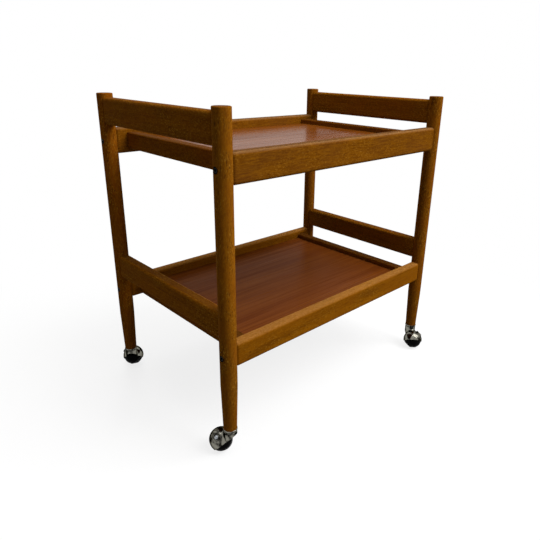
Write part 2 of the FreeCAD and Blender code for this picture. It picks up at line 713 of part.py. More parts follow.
def fasteners():
    """Bolts, barrel nuts and dowels, each kind a group of separate solids."""
    board_length = BOARD_DOWEL_IN_POST + BOARD_DOWEL_IN_BOARD
    rail_length = RAIL_DOWEL_IN_SIDE + RAIL_DOWEL_IN_END
    groups = {
        "frame_bolts": make_bolts(),
        "barrel_nuts": make_barrel_nuts(),
        "board_dowels": dowels(board_dowel_places(), BOARD_DOWEL_DIAMETER, board_length),
        "tray_rail_dowels": dowels(rail_dowel_places(), RAIL_DOWEL_DIAMETER, rail_length),
    }
    return {name: Part.makeCompound(group) for name, group in groups.items()}


def castor_pieces():
    """Every castor's pieces, named for their corner."""
    makers = {
        "collar": make_collar,
        "sleeve": make_sleeve,
        "thrust_washer": make_thrust_washer,
        "stem": make_stem,
        "stem_ring": make_stem_ring,
        "castor_hood": make_hood,
        "castor_axle": make_axle,
        "castor_wheel": make_wheel,
    }
    pieces = {}
    for corner in CORNERS:
        for name, make in makers.items():
            pieces[corner + "_" + name] = make(corner)
    return pieces


def main():
    """Build every piece and write its STEP file."""
    os.makedirs("parts", exist_ok=True)
    pieces = {**wooden_pieces(), **fasteners(), **castor_pieces()}
    for name, shape in pieces.items():
        shape.exportStep("parts/" + name + ".step")
        print(name, "solids", len(shape.Solids), "volume", round(shape.Volume, 1),
              "valid", shape.isValid())


main()
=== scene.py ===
"""Looks of the two-tier tea trolley: its finishes, its studio and its camera.

Lengths are in metres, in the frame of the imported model: +Z up, +X along the trays, +Y from
the front to the back.  Sizes that a maker would give in millimetres end in _mm.  A span is a
pair of values of a pattern: what the pattern brings starts to show at the first and is whole
at the second.
"""
import logging
import math
from dataclasses import dataclass, field
from enum import Enum
from typing import Protocol

import bpy
from mathutils import Matrix, Vector

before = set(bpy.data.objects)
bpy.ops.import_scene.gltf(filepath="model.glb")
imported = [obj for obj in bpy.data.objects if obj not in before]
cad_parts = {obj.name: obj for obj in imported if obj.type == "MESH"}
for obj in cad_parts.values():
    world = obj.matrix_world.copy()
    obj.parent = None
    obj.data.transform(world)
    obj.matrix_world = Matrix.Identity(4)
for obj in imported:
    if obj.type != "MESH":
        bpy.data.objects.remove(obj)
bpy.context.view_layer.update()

LOG = logging.getLogger("trolley")
Socket = bpy.types.NodeSocket
Tree = bpy.types.NodeTree
Colour = tuple[float, float, float, float]
Point = tuple[float, float, float]
Span = tuple[float, float]

MM = 0.001
POST_X = 0.336                # from the middle to a post's axis, along the trays
POST_Y = 0.2165               # from the middle to a post's axis, across the trays
WAVE_PHASE = 20.0             # phase that the wave texture gains in one unit of distance
RING_STRETCH = 14.0           # growth rings wander this much more slowly along the grain
BOLD_SPECK_MM = (4.62, 2.1)   # real specks on posts and boards are finer; drawn to show


class Grain(Enum):
    """Which way the wood's fibres run; the value is the index of the axis."""

    ALONG_X = 0
    ALONG_Y = 1
    ALONG_Z = 2


class Named(Enum):
    """A part of the trolley whose name starts the names of the nodes in it."""

    def node(self, piece: str) -> str:
        """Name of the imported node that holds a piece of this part."""
        return f"{self.name.lower()}_{piece}"


class Corner(Named):
    """The four corners; the value is the side along X and along Y."""

    FRONT_LEFT = (-1, -1)
    BACK_LEFT = (-1, 1)
    FRONT_RIGHT = (1, -1)
    BACK_RIGHT = (1, 1)


class End(Named):
    """The two ends; the value is the side along X."""

    LEFT = -1
    RIGHT = 1


class Side(Named):
    """The two long sides; the value is the side along Y."""

    FRONT = -1
    BACK = 1


class Tier(Named):
    """The two trays; the value is the height of the side rails' tops, in metres."""

    UPPER = 0.6352
    LOWER = 0.2628


# ---- colours, nodes and patterns --------------------------------------------------------
def linear(colour: str) -> Colour:
    """Turn an sRGB hex colour into linear light.

    Args:
        colour: six hex digits, such as "7c4e1a".

    Returns:
        Linear red, green, blue and an alpha of one.
    """
    channels = [int(colour[index:index + 2], 16) / 255 for index in (0, 2, 4)]
    bright = [((c + 0.055) / 1.055) ** 2.4 if c > 0.04045 else c / 12.92 for c in channels]
    return (*bright, 1.0)


def add(tree: Tree, kind: str, inputs: dict | None = None, **settings: object) -> bpy.types.Node:
    """Add one shader node with its settings and links.

    Args:
        tree: the node tree that gets the node.
        kind: the node's type after "ShaderNode", such as "Mix".
        inputs: socket name or index to a value, or to the output socket that feeds it.
        settings: attributes of the node, such as operation="MULTIPLY".

    Returns:
        The new node.
    """
    node = tree.nodes.new("ShaderNode" + kind)
    for name, value in settings.items():
        setattr(node, name, value)
    for name, value in (inputs or {}).items():
        if isinstance(value, bpy.types.NodeSocket):
            tree.links.new(value, node.inputs[name])
        else:
            node.inputs[name].default_value = value
    return node


def new_material(name: str) -> tuple[bpy.types.Material, Tree]:
    """Make an empty node material.

    Args:
        name: the material's name.

    Returns:
        The material and its empty node tree.
    """
    material = bpy.data.materials.new(name)
    material.use_nodes = True
    material.node_tree.nodes.clear()
    return material, material.node_tree


def stretched_noise(tree: Tree, grain: Grain, size_mm: tuple[float, float],
                    detail: float = 3.0, roughness: float = 0.55) -> Socket:
    """Noise whose blotches are long along the grain and narrow across it.

    Args:
        tree: the material's node tree.
        grain: the direction of the fibres.
        size_mm: size of a blotch along the grain and across it.
        detail: octaves of finer noise.
        roughness: strength of those octaves.

    Returns:
        The socket of the noise's value, around 0.5.
    """
    length_mm, width_mm = size_mm
    scale = [1 / (width_mm * MM)] * 3
    scale[grain.value] = 1 / (length_mm * MM)
    place = add(tree, "TexCoord").outputs["Object"]
    mapping = add(tree, "Mapping", {"Vector": place, "Scale": scale})
    return add(tree, "TexNoise", {
        "Vector": mapping.outputs[0],
        "Scale": 1.0,
        "Detail": detail,
        "Roughness": roughness,
    }).outputs[0]


def even_noise(tree: Tree, size_mm: float, detail: float = 3.0) -> Socket:
    """Noise whose blotches are as long as they are wide.

    Args:
        tree: the material's node tree.
        size_mm: size of a blotch.
        detail: octaves of finer noise.

    Returns:
        The socket of the noise's value, around 0.5.
    """
    return stretched_noise(tree, Grain.ALONG_Z, (size_mm, size_mm), detail)


def growth_rings(tree: Tree, grain: Grain, pith: Point, spacing_mm: float) -> Socket:
    """Rings about a pith line that runs along the grain: lines on the sides, arcs on the ends.

    The value is the sine of the distance from the pith line, made to wander by noise.

    Args:
        tree: the material's node tree.
        grain: the direction of the pith line.
        pith: a point on the pith line.
        spacing_mm: distance from ring to ring.

    Returns:
        The socket of the rings' value, from 0 to 1.
    """
    per_metre = 2 * math.pi / WAVE_PHASE / (spacing_mm * MM)
    scale = [per_metre] * 3
    scale[grain.value] = per_metre / RING_STRETCH
    shift = [-offset * size for offset, size in zip(pith, scale)]
    place = add(tree, "TexCoord").outputs["Object"]
    mapping = add(tree, "Mapping", {"Vector": place, "Location": shift, "Scale": scale})
    return add(tree, "TexWave", {
        "Vector": mapping.outputs[0],
        "Scale": 1.0,
        "Distortion": 3.0,
        "Detail": 2.0,
        "Detail Scale": 0.6,
    }, wave_type="RINGS", rings_direction="XYZ"[grain.value]).outputs[1]


def upward(tree: Tree) -> Socket:
    """How far a surface faces upwards: the height of its normal, in the piece's own axes.

    Args:
        tree: the material's node tree.

    Returns:
        The socket of the value, from -1 to 1.
    """
    normal = add(tree, "TexCoord").outputs["Normal"]
    return add(tree, "SeparateXYZ", {0: normal}).outputs[2]


def axis_distance(tree: Tree, axis: tuple[float, float]) -> Socket:
    """Distance from a line that runs along X, in the piece's own coordinates.

    Args:
        tree: the material's node tree.
        axis: the line's Y and Z.

    Returns:
        The socket of the distance in metres.
    """
    place = add(tree, "TexCoord").outputs["Object"]
    across = add(tree, "Mapping", {
        "Vector": place,
        "Location": (0.0, -axis[0], -axis[1]),
        "Scale": (0.0, 1.0, 1.0),
    })
    length = add(tree, "VectorMath", {0: across.outputs[0]}, operation="LENGTH")
    return length.outputs["Value"]


def stain(tree: Tree, tone: Socket | Colour, colour: str, pattern: Socket, span: Span,
          share: float = 1.0, within: Socket | None = None) -> Socket:
    """Lay a colour over a tone where a pattern shows.

    Args:
        tree: the material's node tree.
        tone: the colour so far.
        colour: sRGB hex colour that is laid over it.
        pattern: the value that says where.
        span: values of the pattern where the colour starts and where it is whole.
        share: how much of the tone the whole colour hides, from 0 to 1.
        within: a second value that the share is multiplied by.

    Returns:
        The socket of the new colour.
    """
    amount = add(tree, "MapRange", {
        "Value": pattern,
        "From Min": span[0], "From Max": span[1],
        "To Max": share,
    }).outputs[0]
    if within is not None:
        amount = add(tree, "Math", {0: amount, 1: within}, operation="MULTIPLY").outputs[0]
    mixed = add(tree, "Mix", {0: amount, 6: tone, 7: linear(colour)}, data_type="RGBA")
    return mixed.outputs[2]


# ---- finishes ---------------------------------------------------------------------------
class Finish(Protocol):
    """Anything that can make its own material."""

    def material(self) -> bpy.types.Material:
        """Make the material."""


@dataclass(frozen=True)
class SatinBeech:
    """Stained beech, planed or turned, under a worn satin lacquer.

    To the eye: a warm golden brown with soft bands, fine dark ray flecks along the grain,
    and small pale specks where the lacquer has rubbed through. Upward arrises take a paler,
    greyer colour that is partly rubbed lacquer and partly painted sheen. Flat tops, end grain
    among them, are painted darker: painted shade against the light from above. The
    counterbores of the bolts and their rims are painted near black: painted shade in the wells.
    """

    name: str
    grain: Grain
    pith: Point = (0.0, 0.0, 0.0)

    # colours of the stained wood, then of its wear and of its painted light
    deep: str = "653804"
    mid: str = "7d4906"
    warm: str = "7c3f0c"
    pale: str = "98600c"
    fleck: str = "47230a"
    speck: str = "a87628"
    rub_and_sheen: str = "b0844e"
    painted_top_shade: str = "4a2a0c"
    well_shade: str = "0b0705"

    # how strongly each colour shows, from 0 to 1
    ring_share: float = 0.22
    warm_share: float = 0.45
    fibre_share: float = 0.5
    mottle_share: float = 0.4
    fleck_share: float = 0.5
    speck_share: float = 0.5
    sparse_share: float = 0.25                    # of the flecks and specks, between patches
    arris_share: float = 0.35
    spared_share: float = 0.5                     # of the arris colour (rubbed lacquer and painted sheen), where its patches are faintest
    top_shade_share: float = 0.0

    # sizes along the grain and across it
    band_mm: tuple[float, float] = (260.0, 26.0)
    ring_mm: float = 7.0                          # real rings are 2 to 3 mm; drawn to show
    fibre_mm: tuple[float, float] = (30.0, 1.8)   # real fibres are finer; drawn to show
    mottle_mm: tuple[float, float] = (5.5, 3.4)   # uneven take-up of the stain
    fleck_mm: tuple[float, float] = (8.0, 2.6)    # real flecks are 1 by 3 mm; drawn to show
    speck_mm: tuple[float, float] = (3.52, 1.6)   # real specks are finer; drawn to show
    patch_mm: tuple[float, float] = (112.0, 70.0)     # flecks and specks gather in patches
    counterbores: tuple[tuple[float, float], ...] = ()    # Y and Z of their axes, in metres
    well_shade_radius_mm: float = 6.8                 # the painted shade of the wells reaches just past the rim
    well_shade_edge_mm: float = 0.1                   # width over which it ends

    # spans of the patterns
    band_span: Span = (0.34, 0.66)
    ring_span: Span = (0.2, 1.0)
    warm_span: Span = (0.62, 0.36)
    fibre_span: Span = (0.40, 0.72)
    lighter_span: Span = (0.50, 0.70)
    darker_span: Span = (0.50, 0.30)
    gather_span: Span = (0.42, 0.62)
    fleck_span: Span = (0.56, 0.70)
    speck_span: Span = (0.57, 0.70)
    rub_and_sheen_patch_span: Span = (0.35, 0.65)
    arris_span: Span = (0.25, 0.85)               # height of the normal
    top_shade_span: Span = (0.88, 1.0)                  # height of the normal

    # the worn lacquer: hardly any gloss is left, and the specks are a little smoother
    roughness: float = 0.66
    rough_change: float = 0.06
    rough_span: Span = (0.3, 0.7)
    gloss: float = 0.008
    gloss_tint: str = "d9963c"
    relief: float = 0.2
    relief_mm: float = 0.06

    def patterns(self, tree: Tree) -> dict[str, Socket]:
        """Make the patterns of the wood and of its wear.

        Args:
            tree: the material's node tree.

        Returns:
            The name of each pattern and the socket of its value.
        """
        grain = self.grain
        return {
            "bands": stretched_noise(tree, grain, self.band_mm, detail=2.0),
            "rings": growth_rings(tree, grain, self.pith, self.ring_mm),
            "fibres": stretched_noise(tree, grain, self.fibre_mm, roughness=0.6),
            "mottle": stretched_noise(tree, grain, self.mottle_mm, detail=2.0, roughness=0.6),
            "flecks": stretched_noise(tree, grain, self.fleck_mm, detail=1.5),
            "specks": stretched_noise(tree, grain, self.speck_mm, detail=1.0),
            "patches": stretched_noise(tree, grain, self.patch_mm, detail=1.0),
        }

    def stained(self, tree: Tree, patterns: dict[str, Socket]) -> Socket:
        """Colour the wood as it left the workshop.

        Args:
            tree: the material's node tree.
            patterns: the patterns by name.

        Returns:
            The socket of the colour.
        """
        mottle = patterns["mottle"]
        tone = stain(tree, linear(self.deep), self.mid, patterns["bands"], self.band_span)
        tone = stain(tree, tone, self.deep, patterns["rings"], self.ring_span, self.ring_share)
        tone = stain(tree, tone, self.warm, patterns["patches"], self.warm_span, self.warm_share)
        tone = stain(tree, tone, self.pale, patterns["fibres"], self.fibre_span, self.fibre_share)
        tone = stain(tree, tone, self.pale, mottle, self.lighter_span, self.mottle_share)
        return stain(tree, tone, self.deep, mottle, self.darker_span, self.mottle_share)

    def worn(self, tree: Tree, patterns: dict[str, Socket], tone: Socket) -> Socket:
        """Add the flecks, the marks of use and the painted light on arrises, tops and
        counterbores.

        Args:
            tree: the material's node tree.
            patterns: the patterns by name.
            tone: the colour so far.

        Returns:
            The socket of the new colour.
        """
        gather = add(tree, "MapRange", {
            "Value": patterns["patches"],
            "From Min": self.gather_span[0], "From Max": self.gather_span[1],
            "To Min": self.sparse_share,
        }).outputs[0]
        rub_and_sheen_patches = add(tree, "MapRange", {
            "Value": patterns["mottle"],
            "From Min": self.rub_and_sheen_patch_span[0], "From Max": self.rub_and_sheen_patch_span[1],
            "To Min": self.spared_share,
        }).outputs[0]
        height = upward(tree)
        tone = stain(tree, tone, self.fleck, patterns["flecks"], self.fleck_span,
                     self.fleck_share, gather)
        tone = stain(tree, tone, self.speck, patterns["specks"], self.speck_span,
                     self.speck_share, gather)
        # upward arrises: partly rubbed lacquer, partly a painted sheen
        tone = stain(tree, tone, self.rub_and_sheen, height, self.arris_span, self.arris_share, rub_and_sheen_patches)
        # up-facing tops darkened: a painted shade against the light from above
        tone = stain(tree, tone, self.painted_top_shade, height, self.top_shade_span, self.top_shade_share)
        # counterbores and their rims darkened to near black: a painted shade in the wells
        whole_mm = self.well_shade_radius_mm - self.well_shade_edge_mm
        for axis in self.counterbores:
            tone = stain(tree, tone, self.well_shade, axis_distance(tree, axis),
                         (self.well_shade_radius_mm * MM, whole_mm * MM))
        return tone

    def material(self) -> bpy.types.Material:
        """Make the material.

        Returns:
            The finished material.
        """
        material, tree = new_material(self.name)
        patterns = self.patterns(tree)
        tone = self.worn(tree, patterns, self.stained(tree, patterns))
        rough = add(tree, "MapRange", {
            "Value": patterns["specks"],
            "From Min": self.rough_span[0], "From Max": self.rough_span[1],
            "To Min": self.roughness + self.rough_change,
            "To Max": self.roughness - self.rough_change,
        })
        bump = add(tree, "Bump", {
            "Height": patterns["fibres"],
            "Strength": self.relief,
            "Distance": self.relief_mm * MM,
        })
        shader = add(tree, "BsdfPrincipled", {
            "Base Color": tone,
            "Roughness": rough.outputs[0],
            "IOR": 1.5,
            "Specular IOR Level": self.gloss,
            "Specular Tint": linear(self.gloss_tint),
            "Normal": bump.outputs[0],
        })
        add(tree, "OutputMaterial", {"Surface": shader.outputs[0]})
        return material


@dataclass(frozen=True)
class TeakVeneer:
    """Flat-cut teak veneer on a board, under satin lacquer on its upper face.

    To the eye: a red brown with long dark lines along the tray, short pores in them, and a
    broad sheen where it is seen at a low angle.
    """

    name: str
    deep: str
    mid: str
    pale: str
    pore: str
    sheen: float
    sheen_tint: str = "f0b060"
    line_share: float = 0.65
    pore_share: float = 0.65

    # sizes along the grain and across it, and spans of the patterns
    band_mm: tuple[float, float] = (620.0, 42.0)
    band_span: Span = (0.34, 0.68)
    line_mm: tuple[float, float] = (420.0, 6.5)
    line_span: Span = (0.46, 0.64)
    pore_mm: tuple[float, float] = (16.0, 1.5)    # real pores are finer; drawn to show
    pore_span: Span = (0.54, 0.74)

    # the lacquer is rougher on the dark lines, and the underside has none
    roughness: float = 0.32
    smoother: float = 0.06
    rougher: float = 0.12
    rough_span: Span = (0.35, 0.65)
    bare_roughness: float = 0.9
    lacquered_span: Span = (-0.5, 0.5)            # height of the normal
    relief: float = 0.2
    relief_mm: float = 0.04

    def rough(self, tree: Tree, lines: Socket) -> Socket:
        """Work out the roughness.

        Args:
            tree: the material's node tree.
            lines: the value of the dark lines.

        Returns:
            The socket of the roughness.
        """
        lacquer = add(tree, "MapRange", {
            "Value": lines,
            "From Min": self.rough_span[0], "From Max": self.rough_span[1],
            "To Min": self.roughness - self.smoother,
            "To Max": self.roughness + self.rougher,
        })
        lacquered = add(tree, "MapRange", {
            "Value": upward(tree),
            "From Min": self.lacquered_span[0], "From Max": self.lacquered_span[1],
        })
        both = add(tree, "Mix", {
            0: lacquered.outputs[0],
            2: self.bare_roughness,
            3: lacquer.outputs[0],
        }, data_type="FLOAT")
        return both.outputs[0]

    def material(self) -> bpy.types.Material:
        """Make the material.

        Returns:
            The finished material.
        """
        material, tree = new_material(self.name)
        bands = stretched_noise(tree, Grain.ALONG_X, self.band_mm)
        lines = stretched_noise(tree, Grain.ALONG_X, self.line_mm, roughness=0.6)
        pores = stretched_noise(tree, Grain.ALONG_X, self.pore_mm, roughness=0.7)
        tone = stain(tree, linear(self.mid), self.pale, bands, self.band_span)
        tone = stain(tree, tone, self.deep, lines, self.line_span, self.line_share)
        tone = stain(tree, tone, self.pore, pores, self.pore_span, self.pore_share)
        bump = add(tree, "Bump", {
            "Height": pores,
            "Strength": self.relief,
            "Distance": self.relief_mm * MM,
        })
        shader = add(tree, "BsdfPrincipled", {
            "Base Color": tone,
            "Roughness": self.rough(tree, lines),
            "IOR": 1.5,
            "Specular IOR Level": self.sheen,
            "Specular Tint": linear(self.sheen_tint),
            "Normal": bump.outputs[0],
        })
        add(tree, "OutputMaterial", {"Surface": shader.outputs[0]})
        return material


@dataclass(frozen=True)
class WornChrome:
    """Chrome plate on a zinc casting, smeared by handling and painted darker.

    To the eye: a grey mirror with bright glints, dark smears, a few dark pits, and rims that
    go dark where the plate is seen edge on. The mirror's colour is darkened, a painted
    reflection of dark surroundings; the smears are partly handling marks and partly painted
    dark reflection; the dark rims come from a near-black edge tint, a painted dark reflection.
    """

    name: str = "worn_chrome_plate"
    # mirror colour darkened: a painted reflection of dark surroundings
    bright: str = "7f7d73"
    # smear colour: partly handling marks, partly a painted dark reflection
    dull: str = "1d1b18"
    pitted: str = "171412"
    # edge tint near black: a painted dark reflection where the plate is seen edge on
    painted_edge_darkening: str = "0d0c0b"
    smear_mm: float = 13.0
    smear_span: Span = (0.45, 0.63)
    pit_mm: float = 1.4
    pit_span: Span = (0.64, 0.76)
    pit_share: float = 0.5
    clean_roughness: float = 0.06
    smeared_roughness: float = 0.2
    rough_span: Span = (0.35, 0.7)
    relief: float = 0.12
    relief_mm: float = 0.03

    def material(self) -> bpy.types.Material:
        """Make the material.

        Returns:
            The finished material.
        """
        material, tree = new_material(self.name)
        smear_and_reflection_blotches = even_noise(tree, self.smear_mm)
        pits = even_noise(tree, self.pit_mm, detail=2.0)
        # darkened mirror colour and dark blotches: painted dark reflection, partly handling
        # smears
        tone = stain(tree, linear(self.bright), self.dull, smear_and_reflection_blotches, self.smear_span)
        tone = stain(tree, tone, self.pitted, pits, self.pit_span, self.pit_share)
        rough = add(tree, "MapRange", {
            "Value": smear_and_reflection_blotches,
            "From Min": self.rough_span[0], "From Max": self.rough_span[1],
            "To Min": self.clean_roughness, "To Max": self.smeared_roughness,
        })
        bump = add(tree, "Bump", {
            "Height": pits,
            "Strength": self.relief,
            "Distance": self.relief_mm * MM,
        })
        shader = add(tree, "BsdfPrincipled", {
            "Base Color": tone,
            "Metallic": 1.0,
            # near-black edge tint: painted dark reflection at the rims
            "Specular Tint": linear(self.painted_edge_darkening),
            "Roughness": rough.outputs[0],
            "Normal": bump.outputs[0],
        })
        add(tree, "OutputMaterial", {"Surface": shader.outputs[0]})
        return material


@dataclass(frozen=True)
class BrightZinc:
    """Bright zinc plate on turned steel.

    To the eye: a cool grey with faint blotches.
    """

    name: str = "bright_zinc_plate"
    tint: str = "a2a5a8"
    blotch: str = "75797c"
    blotch_mm: float = 3.0
    blotch_span: Span = (0.4, 0.7)
    roughness: float = 0.3

    def material(self) -> bpy.types.Material:
        """Make the material.

        Returns:
            The finished material.
        """
        material, tree = new_material(self.name)
        blotches = even_noise(tree, self.blotch_mm)
        shader = add(tree, "BsdfPrincipled", {
            "Base Color": stain(tree, linear(self.tint), self.blotch, blotches, self.blotch_span),
            "Metallic": 1.0,
            "Roughness": self.roughness,
        })
        add(tree, "OutputMaterial", {"Surface": shader.outputs[0]})
        return material


@dataclass(frozen=True)
class BlackOxide:
    """Black oxide on steel screws.

    To the eye: near black, with a faint oily sheen and slightly rubbed spots.
    """

    name: str = "black_oxide_steel"
    tint: str = "0a0908"
    rubbed: str = "201e1c"
    rub_mm: float = 1.5
    rub_span: Span = (0.5, 0.8)
    roughness: float = 0.42
    gloss: float = 0.03

    def material(self) -> bpy.types.Material:
        """Make the material.

        Returns:
            The finished material.
        """
        material, tree = new_material(self.name)
        rubs = even_noise(tree, self.rub_mm)
        shader = add(tree, "BsdfPrincipled", {
            "Base Color": stain(tree, linear(self.tint), self.rubbed, rubs, self.rub_span),
            "Roughness": self.roughness,
            "IOR": 1.5,
            "Specular IOR Level": self.gloss,
        })
        add(tree, "OutputMaterial", {"Surface": shader.outputs[0]})
        return material


@dataclass(frozen=True)
class MouldedNylon:
    """Black moulded nylon.

    To the eye: a deep black, polished by rolling on the wheels and duller on the washers,
    with faint scuffs of floor dust.
    """

    name: str
    tint: str = "060607"
    dust: str = "100f0f"
    scuff_mm: float = 4.0
    scuff_span: Span = (0.45, 0.75)
    roughness: float = 0.26
    scuffed: float = 0.2                          # what a scuff adds to the roughness
    rough_span: Span = (0.35, 0.7)
    gloss: float = 0.012

    def material(self) -> bpy.types.Material:
        """Make the material.

        Returns:
            The finished material.
        """
        material, tree = new_material(self.name)
        scuffs = even_noise(tree, self.scuff_mm, detail=4.0)
        rough = add(tree, "MapRange", {
            "Value": scuffs,
            "From Min": self.rough_span[0], "From Max": self.rough_span[1],
            "To Min": self.roughness, "To Max": self.roughness + self.scuffed,
        })
        shader = add(tree, "BsdfPrincipled", {
            "Base Color": stain(tree, linear(self.tint), self.dust, scuffs, self.scuff_span),
            "Roughness": rough.outputs[0],
            "IOR": 1.53,
            "Specular IOR Level": self.gloss,
        })
        add(tree, "OutputMaterial", {"Surface": shader.outputs[0]})
        return material


# ---- sub-assemblies ---------------------------------------------------------------------
def dress(finish: Finish, *nodes: str) -> None:
    """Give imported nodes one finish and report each.

    Args:
        finish: the finish, whose one material takes every slot.
        nodes: the nodes' names.
    """
    material = finish.material()
    for node in nodes:
        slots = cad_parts[node].data.materials
        slots.clear()
        slots.append(material)
        LOG.info("%s: %s", node, material.name)


@dataclass
class Posts:
    """The four turned posts, each from its own length of beech."""

    half_length: float = POST_X
    half_width: float = POST_Y
    pith_offset: float = 0.045
    bolt_heights: tuple[float, float] = (0.2365, 0.6059)

    # the deep and the mid colour of each post
    tones: dict[Corner, tuple[str, str]] = field(default_factory=lambda: {
        Corner.FRONT_LEFT: ("70430b", "8d540c"),
        Corner.BACK_LEFT: ("6c3806", "864607"),
        Corner.FRONT_RIGHT: ("5e3505", "7c4407"),
        # the back right post is a little darker, partly as painted shade for the shade between
        # the trays
        Corner.BACK_RIGHT: ("5c3205", "744008"),
    })

    def finish(self, corner: Corner) -> SatinBeech:
        """Beech for one post, whose pith line stands beside the post's axis.

        Args:
            corner: the post's corner.

        Returns:
            The finish.
        """
        side_x, side_y = corner.value
        axis_x = side_x * self.half_length
        axis_y = side_y * self.half_width
        deep, mid = self.tones[corner]
        return SatinBeech(
            name=corner.node("post_beech"),
            grain=Grain.ALONG_Z,
            pith=(axis_x + self.pith_offset, axis_y + side_x * self.pith_offset, 0.0),
            deep=deep,
            mid=mid,
            fleck_share=0.9,
            speck_share=0.85,
            arris_share=0.0,
            # the post tops are darkened: painted shade
            top_shade_share=0.8,
            speck_mm=BOLD_SPECK_MM,
            patch_mm=(60.8, 38.0),
            counterbores=tuple((axis_y, height) for height in self.bolt_heights),
        )

    def dress(self) -> None:
        """Give each post its own beech."""
        for corner in Corner:
            dress(self.finish(corner), corner.node("post"))


@dataclass
class EndBoards:
    """Handle boards and lower end boards, across the two ends."""

    half_length: float = POST_X
    pith_depth: float = 0.06

    # the height of each board's middle
    heights: dict[str, float] = field(default_factory=lambda: {
        "handle_board": 0.673,
        "lower_end_board": 0.3,
    })

    def finish(self, end: End, board: str) -> SatinBeech:
        """Beech for one board, whose pith line runs across the trolley, below the board.

        Args:
            end: the board's end of the trolley.
            board: which of the end's boards it is.

        Returns:
            The finish.
        """
        return SatinBeech(
            name=end.node(board + "_beech"),
            grain=Grain.ALONG_Y,
            pith=(end.value * self.half_length, 0.0, self.heights[board] - self.pith_depth),
            ring_share=0.5,
            speck_share=0.9,
            arris_share=0.0,
            # the board tops are darkened: painted shade
            top_shade_share=0.6,
            band_mm=(320.0, 9.0),
            fibre_mm=(55.0, 2.2),                 # real fibres are finer; drawn to show
            speck_mm=BOLD_SPECK_MM,
        )

    def dress(self) -> None:
        """Give each board its own beech."""
        for end in End:
            for board in self.heights:
                dress(self.finish(end, board), end.node(board))


@dataclass
class Tray:
    """One tray: four rails and the veneered panel that they hold."""

    tier: Tier
    veneer: TeakVeneer

    # the side rails, with their arris colour (partly rubbed lacquer, partly painted sheen) and
    # the share of painted shade on their tops
    mid: str
    warm: str
    rub_and_sheen: str
    arris_share: float
    top_shade_share: float

    # the end rails, painted darker over their rounded tops: painted shade
    end_deep: str = "5c3004"
    end_mid: str = "764006"
    end_top_shade_share: float = 0.85
    end_top_shade_span: Span = (0.4, 1.0)

    # where the pith lines are
    half_length: float = 0.286
    half_width: float = POST_Y
    pith_depth: float = 0.08

    def node(self, piece: str) -> str:
        """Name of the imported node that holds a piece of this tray."""
        return self.tier.node("tray_" + piece)

    def side_rail(self, side: Side) -> SatinBeech:
        """Beech for a side rail, along the tray.

        Args:
            side: the rail's side of the tray.

        Returns:
            The finish.
        """
        return SatinBeech(
            name=self.node(side.node("rail_beech")),
            grain=Grain.ALONG_X,
            pith=(0.0, side.value * self.half_width, self.tier.value - self.pith_depth),
            mid=self.mid,
            warm=self.warm,
            rub_and_sheen=self.rub_and_sheen,
            warm_share=0.75,
            mottle_share=0.2,
            arris_share=self.arris_share,
            top_shade_share=self.top_shade_share,
        )

    def end_rail(self, end: End) -> SatinBeech:
        """Beech for an end rail, across the tray.

        Args:
            end: the rail's end of the tray.

        Returns:
            The finish.
        """
        return SatinBeech(
            name=self.node(end.node("end_rail_beech")),
            grain=Grain.ALONG_Y,
            pith=(end.value * self.half_length, 0.0, self.tier.value - self.pith_depth),
            deep=self.end_deep,
            mid=self.end_mid,
            arris_share=0.0,
            top_shade_share=self.end_top_shade_share,
            top_shade_span=self.end_top_shade_span,
        )

    def dress(self) -> None:
        """Give the rails their beech and the panel its veneer."""
        for side in Side:
            dress(self.side_rail(side), self.node(side.node("rail")))
        for end in End:
            dress(self.end_rail(end), self.node(end.node("end_rail")))
        dress(self.veneer, self.node("panel"))


@dataclass
class Castors:
    """Four castors with their collars, stems and wheels."""

    chrome: WornChrome = WornChrome()
    zinc: BrightZinc = BrightZinc()
    wheel: MouldedNylon = MouldedNylon("polished_black_nylon")
    washer: MouldedNylon = MouldedNylon("dull_black_nylon", roughness=0.5)

    def dress(self) -> None:
        """Give each piece of each castor its finish."""
        for finish, pieces in (
            (self.chrome, ("castor_hood", "collar")),
            (self.zinc, ("sleeve", "stem", "stem_ring", "castor_axle")),
            (self.wheel, ("castor_wheel",)),
            (self.washer, ("thrust_washer",)),
        ):
            dress(finish, *(corner.node(piece) for corner in Corner for piece in pieces))


@dataclass
class Joinery:
    """Bolts and barrel nuts that hold the side rails, and the dowels of the other joints."""

    bolts: BlackOxide = BlackOxide()
    nuts: BrightZinc = BrightZinc("barrel_nut_zinc")
    dowels: SatinBeech = SatinBeech("dowel_beech", Grain.ALONG_Y, deep="9a7a4c", mid="b3935f",
                                    pale="c4a674", fleck="7c5f38", fleck_share=0.3)

    def dress(self) -> None:
        """Give the bolts black oxide, the nuts zinc, and the dowels bare beech."""
        dress(self.bolts, "frame_bolts")
        dress(self.nuts, "barrel_nuts")
        dress(self.dowels, "board_dowels", "tray_rail_dowels")


# ---- studio -----------------------------------------------------------------------------
def seen_directly(tree: Tree) -> Socket:
    """One for camera, glossy and transmission rays, else zero.

    Args:
        tree: the node tree that gets the nodes.

    Returns:
        The socket of the value.
    """
    ray = add(tree, "LightPath").outputs
    shiny = add(tree, "Math", {0: ray["Is Glossy Ray"], 1: ray["Is Transmission Ray"]},
                operation="MAXIMUM")
    seen = add(tree, "Math", {0: ray["Is Camera Ray"], 1: shiny.outputs[0]},
               operation="MAXIMUM")
    return seen.outputs[0]


@dataclass(frozen=True)
class SoftLight:
    """A square soft light that faces the middle of the trolley."""

    name: str
    place: Point
    width: float
    watts: float
    glints: bool = True                           # whether shiny surfaces mirror it
    aim: Point = (0.0, 0.0, 0.4)

    def build(self) -> None:
        """Put the light in the scene."""
        data = bpy.data.lights.new(self.name, "AREA")
        data.size = self.width
        data.energy = self.watts
        light = bpy.data.objects.new(self.name, data)
        light.location = self.place
        light.visible_glossy = self.glints
        ahead = Vector(self.aim) - Vector(self.place)
        light.rotation_euler = ahead.to_track_quat("-Z", "Y").to_euler()
        bpy.context.scene.collection.objects.link(light)


